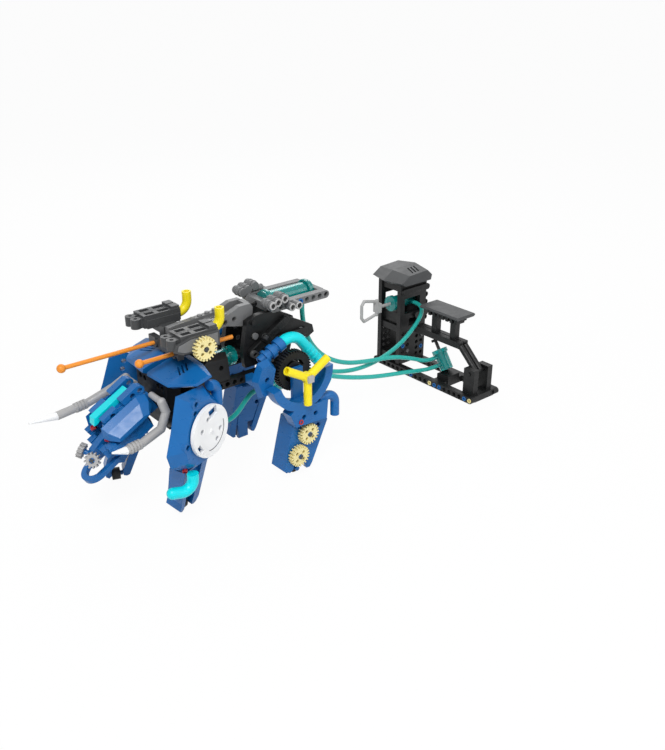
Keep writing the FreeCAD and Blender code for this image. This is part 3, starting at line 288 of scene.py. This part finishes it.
class Piece:
    """One trim piece, collected from turned and cut shapes; all sizes are in mm."""

    def __init__(self, name):
        self.name = name
        self.bm = bmesh.new()

    def turned(self, profile, place, steps=28):
        """A closed (radius, height) outline turned about the place's own Z."""
        rings = []
        for step in range(steps):
            angle = 2 * math.pi * step / steps
            rings.append([self.bm.verts.new(place @ mm(r * math.cos(angle), r * math.sin(angle), h))
                          for r, h in profile])
        for one, two in zip(rings, rings[1:] + rings[:1]):
            for index in range(len(profile)):
                after = (index + 1) % len(profile)
                self.bm.faces.new((one[index], two[index], two[after], one[after]))

    def slab(self, outline, low, high, place):
        """A flat outline in the place's own XY, from low to high along its Z."""
        area = sum(a[0] * b[1] - b[0] * a[1] for a, b in zip(outline, outline[1:] + outline[:1]))
        points = list(outline) if area > 0 else list(reversed(outline))
        bottom = [self.bm.verts.new(place @ mm(x, y, low)) for x, y in points]
        top = [self.bm.verts.new(place @ mm(x, y, high)) for x, y in points]
        self.bm.faces.new(list(reversed(bottom)))
        self.bm.faces.new(top)
        for index in range(len(points)):
            after = (index + 1) % len(points)
            self.bm.faces.new((bottom[index], bottom[after], top[after], top[index]))

    def finish(self, body, slot, bevel=0.15):
        self.bm.normal_update()
        bmesh.ops.recalc_face_normals(self.bm, faces=self.bm.faces)
        mesh = bpy.data.meshes.new(self.name)
        self.bm.to_mesh(mesh)
        self.bm.free()
        for face in mesh.polygons:
            face.use_smooth = True
        mesh.set_sharp_from_angle(angle=SMOOTH_ANGLE)
        piece = bpy.data.objects.new(self.name, mesh)
        bpy.context.scene.collection.objects.link(piece)
        mesh.materials.append(LOOKS[slot])
        if bevel:
            soft = piece.modifiers.new("edges", "BEVEL")
            soft.width = bevel / 1000
            soft.segments = 2
            soft.limit_method = "ANGLE"
            soft.angle_limit = BEVEL_ANGLE
        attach(piece, body)
        return piece


def rim(piece, point, way, frame_of=KIT, radius=2.45):
    """The raised lip round a beam's hole, stepping down into it."""
    r = radius
    piece.turned([(r - 0.05, -1.6), (r - 0.05, -0.7), (r + 0.35, -0.6), (r + 0.4, 0.1), (r + 0.75, 0.1),
                  (r + 0.9, -0.15), (r + 0.9, -1.6)], facing(point, way, frame_of), 24)


def pin_head(piece, point, way, frame_of=KIT, radius=2.9):
    """A connector pin's hollow collared end."""
    piece.turned([(0.01, -1.5), (1.35, -1.5), (1.45, 0.5), (1.9, 0.75), (radius - 0.3, 0.75), (radius, 0.45),
                  (radius, -0.4), (2.3, -0.4), (2.3, -2.4), (0.01, -2.4)], facing(point, way, frame_of), 24)


CROSS = [(0.85, 0.85), (0.85, 2.3), (-0.85, 2.3), (-0.85, 0.85), (-2.3, 0.85), (-2.3, -0.85), (-0.85, -0.85),
         (-0.85, -2.3), (0.85, -2.3), (0.85, -0.85), (2.3, -0.85), (2.3, 0.85)]


def cross_end(piece, point, way, length=1.6, frame_of=KIT):
    """The end of a cross-shaped axle."""
    piece.slab(CROSS, -1.5, length, facing(point, way, frame_of))


def bush(piece, point, way, length=6.0, frame_of=KIT, radius=3.7):
    """A stop bush: a waisted collar round an axle."""
    end = length / 2
    piece.turned([(2.0, -end), (radius, -end), (radius, -end + 1.4), (radius - 0.6, -end + 1.8),
                  (radius - 0.6, end - 1.8), (radius, end - 1.4), (radius, end), (2.0, end)],
                 facing(point, way, frame_of), 24)


def hole_rims():
    black = Piece("beam_hole_rims")
    for side, _ in SIDES:
        for index in range(17):
            rim(black, (-84 + HOLE_STEP * index, 23.9 * side, 104), (0, side, 0))
    for x, way in ((-350, -1), (-310, 1)):
        for index in range(21):
            rim(black, (x + 3.9 * way, -96 + HOLE_STEP * index, 3.9), (way, 0, 0))
    for side, _ in SIDES:
        for row in range(5):
            for x in (-16, -8, 8, 16):
                rim(black, (-330 + x, -76 + 20 * side, 16 + HOLE_STEP * row), (0, side, 0))
    for side, _ in SIDES:
        rim(black, (-95, 19 * side, 134), (0, side, 0))
    black.finish("root", "black_plastic", 0.08)

    grey = Piece("tail_hole_rims")
    for side, _ in SIDES:
        for index in range(5):
            rim(grey, (-124 + HOLE_STEP * index, 23.9 * side, 166), (0, side, 0))
            if index:
                rim(grey, (-124 + HOLE_STEP * index, 16.1 * side, 166), (0, -side, 0))
    grey.finish("root", "mid_grey_plastic", 0.08)

    blue = Piece("body_hole_rims")
    for side, _ in SIDES:
        rim(blue, (-28, 54.4 * side, 112), (0, side, 0))
    blue.finish("root", "blue_plastic", 0.08)

    head = Piece("head_hole_rims")
    for side, _ in SIDES:
        for x, z in ((-1, 23), (7, 24)):
            rim(head, (x, 14 * side, z), (0, side, 0), HEAD)
        rim(head, (31, 13.5 * side, 22.5), (0, side, 0), HEAD)
    head.finish("head", "blue_plastic", 0.08)

    for side, hand in SIDES:
        front = Piece(f"front_leg_rims_{hand}")
        place = shoulder(side)
        for x, z in ((12, 30), (14, 22), (27, -5)):
            rim(front, (x, -5 * side, z), (0, side, 0), place)
        lean = STANCE[hand][0]
        for x, z, share in ((5, -51, 0.3), (15, -52, 0.3), (11, -60, 0.5), (19, -61, 0.5)):
            rim(front, (x + share * lean, -24.5 * side, z), (0, side, 0), shin(side, hand))
        front.finish(f"front_leg_{hand}", "blue_plastic", 0.08)
        rear = Piece(f"rear_leg_rims_{hand}")
        for x, z in ((-74, 68), (-60, 68)):
            rim(rear, (x, 68 * side, z), (0, side, 0))
        for x, z in ((-84, 48), (-78, 38)):
            rim(rear, (x, 59 * side, z), (0, side, 0))
        rear.finish(f"rear_leg_{hand}", "blue_plastic", 0.08)


hole_rims()


def head_trim():
    eyes = Piece("eyes")
    for side, _ in SIDES:
        outline = [(-3.4, -1.2), (-1.6, 1.8), (3.0, 2.2), (4.2, 0.2), (1.2, -2.2)]
        eyes.slab(outline, -3.0, 2.2, facing((47.5, 14 * side, 9.5), (1, 0.5 * side, 0.1), HEAD))
    eyes.finish("head", "red_plastic", 0.5)
    axles = Piece("snout_axle_ends")
    for side, _ in SIDES:
        end = Vector((69, 11 * side, 2)) + snout_way(side) * 2.4
        cross_end(axles, end, snout_way(side), 1.1, HEAD)
    axles.finish("head", "dark_grey_plastic", 0.12)


head_trim()


def leg_trim():
    for side, hand in SIDES:
        place = shoulder(side)
        red = Piece(f"shoulder_pin_{hand}")
        pin_head(red, (24.4, -13.2 * side, -33), (0.5, 0.4 * side, -0.4), place, 2.2)
        red.finish(f"front_leg_{hand}", "red_plastic", 0.1)
        hub = Piece(f"disc_axle_{hand}")
        cross_end(hub, (0, -0.4 * side, 0), (0, side, 0), 0.8, place)
        hub.finish(f"front_leg_{hand}", "white_plastic", 0.1)
        bushes = Piece(f"propeller_bush_{hand}")
        square = [(-3.3, -3.3), (3.3, -3.3), (3.3, 3.3), (-3.3, 3.3)]
        bushes.slab(square, 3.4, 6.2, facing((-60, 74 * side, 112), (0, side, 0)))
        bush(bushes, (-60, 77.5 * side, 112), (0, side, 0), 3.6)
        bushes.finish(f"propeller_{hand}", "light_grey_plastic", 0.3)
        pins = Piece(f"rear_leg_pins_{hand}")
        pin_head(pins, (-56, 68.4 * side, 64), (0, side, 0), KIT, 2.6)
        pins.finish(f"rear_leg_{hand}", "red_plastic", 0.1)
        for level, (x, z) in (("upper", (-69, 45)), ("lower", (-57, 24.2))):
            ends = Piece(f"leg_gear_axle_{level}_{hand}")
            cross_end(ends, (x, 65.6 * side, z), (0, side, 0), 1.0)
            ends.finish(f"leg_gear_{level}_{hand}", "dark_grey_plastic", 0.12)


leg_trim()


def gun_trim():
    for side, hand in SIDES:
        panel = Piece(f"gun_panel_{hand}")
        outline = [(16, 157.5), (50, 157.5), (57, 160.5), (55.5, 165), (43, 168.3), (16, 168.3)]
        place = KIT @ SIDE_ON
        low, high = sorted((-43.7 * side, -44.5 * side))
        panel.slab(outline, low, high, place)
        panel.finish("guns", "mid_grey_plastic", 0.3)
    knob = Piece("knob_axle_end")
    cross_end(knob, (32, 49.4, 158), (0, 1, 0), 1.4)
    knob.finish("guns", "dark_grey_plastic", 0.12)
    rack = Piece("arm_rack")
    for index in range(11):
        x = -24 + 4 * index
        rack.slab([(-4.4, -1.0), (4.4, -1.0), (4.4, 1.0), (-4.4, 1.0)], 0.0, 3.2 - 0.06 * index,
                  facing((x, 0, 162.6 - 0.42 * index), (0, 0, 1)))
    rack.slab([(-5, -20), (5, -20), (5, 24), (-5, 24)], -1.8, 0.4, facing((0, 0, 160.6), (0.09, 0, 1)))
    rack.finish("gun_arm", "dark_grey_plastic", 0.25)


gun_trim()


def socket(ring, dark, point, way, radius=3.9, cross=True):
    """An open end of a connector: a raised collar round a cross-shaped or round hole, whose dark recess is a
    black sheet of painted shade.
    """
    ring.turned([(2.6, -0.4), (2.6, 0.9), (radius - 0.4, 0.9), (radius, 0.5), (radius, -0.4)],
                facing(point, way), 24)
    # The black cross or disc in the hole is painted shade for the hole's recess.
    if cross:
        dark.slab(CROSS, -0.3, 0.12, facing(point, way))
    else:
        dark.turned([(0.01, -0.3), (2.3, -0.3), (2.3, 0.12), (0.01, 0.12)], facing(point, way), 24)


def stadium(start, end, half):
    """The outline of a beam with round ends, between two hole centres."""
    way = math.atan2(end[1] - start[1], end[0] - start[0])
    outline = []
    for centre, first in ((end, -90), (start, 90)):
        for step in range(9):
            angle = way + math.radians(first + 22.5 * step)
            outline.append((centre[0] + half * math.cos(angle), centre[1] + half * math.sin(angle)))
    return outline


def link_beam(piece, start, end, near, far, side):
    """A beam in the XZ plane from y = near to y = far (times side), with a rim at each hole of its row."""
    place = KIT @ SIDE_ON
    low, high = sorted((-near * side, -far * side))
    piece.slab(stadium(start, end, 3.8), low, high, place)
    count = round(math.dist(start, end) / HOLE_STEP)
    for index in range(count + 1):
        share = index / count
        x, z = (one + share * (other - one) for one, other in zip(start, end))
        rim(piece, (x, far * side, z), (0, side, 0))


def tail_trim():
    collars = Piece("tail_collars")
    dark = Piece("tail_collar_hole_shade")
    grey = Piece("tail_bushes")
    for side, _ in SIDES:
        for x, z in ((-60, 174), (-68, 176), (-54, 172)):
            socket(collars, dark, (x, 31 * side, z), (0, side, 0), 4.1)
            bush(grey, (x, 24 * side, z), (0, 1, 0), 7, KIT, 5.0)
        socket(collars, dark, (-76, 32 * side, 166), (0, side, 0), 3.8)
        socket(collars, dark, (-84, 32 * side, 166), (0, side, 0), 3.8, False)
        bush(grey, (-72, 21 * side, 172.4), (1, 0, 0.1), 12, KIT, 3.6)
    collars.finish("root", "light_grey_plastic", 0.12)
    grey.finish("root", "mid_grey_plastic", 0.12)
    # The black sheets in the collar holes are painted shade.
    dark.finish("root", "black_plastic", 0)
    pins = Piece("tail_blue_pins")
    for side, _ in SIDES:
        pin_head(pins, (-92, 24 * side, 166), (0, side, 0), KIT, 2.8)
    pins.finish("root", "blue_plastic", 0.1)
    rings = Piece("tail_cylinder_rings")
    for x in (-68, -116):
        rings.turned([(8.9, -1.6), (11.1, -1.6), (11.1, 1.6), (8.9, 1.6)], facing((x, 0, 166), (1, 0, 0)), 40)
    rings.finish("root", "teal_clear_plastic", 0.3)


tail_trim()


def tower_trim():
    black = Piece("tower_links")
    grey = Piece("tower_bushes")
    for side, _ in SIDES:
        link_beam(black, (-34, 127), (-74, 151), 19.3, 24.2, side)
        link_beam(black, (-98, 133), (-58, 133), 19.3, 22.6, side)
        link_beam(black, (-70, 118), (-46, 142), 22.8, 27.4, side)
        cross_end(grey, (-46, 28 * side, 142), (0, side, 0), 2.4)
        bush(grey, (-70, 29.4 * side, 118), (0, 1, 0), 4.0)
        bush(grey, (-34, 26.2 * side, 127), (0, 1, 0), 4.0)
    black.finish("root", "black_plastic", 0.3)
    grey.finish("root", "dark_grey_plastic", 0.12)


tower_trim()


def controller_trim():
    blue = Piece("controller_blue_pins")
    for y in (-32, 8, 16, 56):
        pin_head(blue, (-306.1, y, 3.9), (1, 0, 0), KIT, 2.8)
    for x, z in ((-346, 24), (-338, 48), (-314, 32)):
        pin_head(blue, (x, -56, z), (0, 1, 0), KIT, 2.8)
    blue.finish("root", "blue_plastic", 0.1)
    tan = Piece("controller_cream_pins")
    for y in (64, 0):
        pin_head(tan, (-306.1, y, 3.9), (1, 0, 0), KIT, 2.8)
    tan.finish("root", "beige_plastic", 0.1)
    grey = Piece("controller_axle_ends")
    dark = Piece("controller_collars")
    for x, z in ((-322, 24), (-346, 40), (-322, 48)):
        cross_end(grey, (x, -56, z), (0, 1, 0), 1.6)
    for index in range(5):
        for y in (-60, -92):
            bush(dark, (-352.6, y, 62 + 10 * index), (0, 1, 0), 7, KIT, 3.4)
    link_beam(dark, (-350, 104), (-312, 104), -56.2, -52.0, 1)
    link_beam(dark, (-350, 70), (-334, 70), -56.2, -52.6, 1)
    grey.finish("root", "mid_grey_plastic", 0.12)
    dark.finish("root", "black_plastic", 0.15)


controller_trim()


def disc_trim():
    """The curved groove on each white disc, drawn as painted shade: a thin raised grey strip of short
    straight pieces.
    """
    for side, hand in SIDES:
        groove_shade = Piece(f"disc_groove_shade_{hand}")
        place = shoulder(side) @ SIDE_ON
        angles = [math.radians(165 + 5 * step) for step in range(25)]
        inner, outer = ([(radius * math.cos(angle), radius * math.sin(angle)) for angle in angles]
                        for radius in (17.6, 18.5))
        low, high = sorted((0.36 * side, 0.7 * side))
        for index in range(24):
            quad = [inner[index], outer[index], outer[index + 1], inner[index + 1]]
            groove_shade.slab(quad, low, high, place)
        groove_shade.finish(f"front_leg_{hand}", "mid_grey_plastic", 0)


disc_trim()


# ---------------------------------------------------------------- floor, world and lamps

def seen_only(tree):
    """1 for what the camera or a reflection sees, 0 for light that falls on the object."""
    path = node(tree, "ShaderNodeLightPath")
    total = path.outputs["Is Camera Ray"]
    for name in ("Is Glossy Ray", "Is Transmission Ray"):
        add = node(tree, "ShaderNodeMath", operation="MAXIMUM")
        tree.links.new(total, add.inputs[0])
        link(tree, path, name, add, 1)
        total = add.outputs[0]
    return total


# The floor reaches far enough that its rim is not seen. Its glow is for the camera and reflections only, and
# leaves the shadow faint.
FLOOR_RADIUS = 40.0
FLOOR_GLOW = 0.96


def make_floor():
    bm = bmesh.new()
    bmesh.ops.create_circle(bm, cap_ends=True, radius=FLOOR_RADIUS, segments=96)
    mesh = bpy.data.meshes.new("floor")
    bm.to_mesh(mesh)
    bm.free()
    floor = bpy.data.objects.new("floor", mesh)
    floor.location = (ORIGIN.x, ORIGIN.y, -0.0004)
    bpy.context.scene.collection.objects.link(floor)
    material = bpy.data.materials.new("floor_white")
    material.use_nodes = True
    tree = material.node_tree
    tree.nodes.remove(tree.nodes["Principled BSDF"])
    diffuse = node(tree, "ShaderNodeBsdfDiffuse")
    diffuse.inputs["Color"].default_value = (0.86, 0.86, 0.86, 1)
    glow = node(tree, "ShaderNodeEmission")
    glow.inputs["Color"].default_value = (1, 1, 1, 1)
    share = node(tree, "ShaderNodeMath", operation="MULTIPLY")
    tree.links.new(seen_only(tree), share.inputs[0])
    share.inputs[1].default_value = FLOOR_GLOW
    both = node(tree, "ShaderNodeMixShader")
    link(tree, share, 0, both, 0)
    link(tree, diffuse, 0, both, 1)
    link(tree, glow, 0, both, 2)
    link(tree, both, 0, tree.nodes["Material Output"], "Surface")
    mesh.materials.append(material)


def make_world():
    world = bpy.data.worlds.new("studio")
    bpy.context.scene.world = world
    world.use_nodes = True
    tree = world.node_tree
    lit = tree.nodes["Background"]
    lit.inputs["Color"].default_value = (0.93, 0.96, 1.0, 1)
    lit.inputs["Strength"].default_value = 0.35
    seen = node(tree, "ShaderNodeBackground")
    seen.inputs["Color"].default_value = (1, 1, 1, 1)
    seen.inputs["Strength"].default_value = 1.0
    both = node(tree, "ShaderNodeMixShader")
    tree.links.new(seen_only(tree), both.inputs[0])
    link(tree, lit, 0, both, 1)
    link(tree, seen, 0, both, 2)
    link(tree, both, 0, tree.nodes["World Output"], "Surface")


def make_lamp(name, place, aim, size, power):
    data = bpy.data.lights.new(name, "AREA")
    data.shape = "SQUARE"
    data.size = size
    data.energy = power
    lamp = bpy.data.objects.new(name, data)
    lamp.location = Vector(place)
    lamp.rotation_euler = (Vector(aim) - Vector(place)).to_track_quat("-Z", "Y").to_euler()
    bpy.context.scene.collection.objects.link(lamp)


make_floor()
make_world()
# Name, place and aim in metres, edge in metres, power in watts.
make_lamp("key_lamp", (0.75, 0.75, 1.25), (0.02, 0.0, 0.08), 0.55, 16.5)
make_lamp("fill_lamp", (-0.6, 1.2, 0.8), (0.0, 0.0, 0.08), 0.9, 4.5)
make_lamp("rim_lamp", (-0.6, -0.9, 1.1), (0.0, 0.0, 0.08), 0.8, 8)

bpy.context.scene.view_settings.view_transform = "Standard"
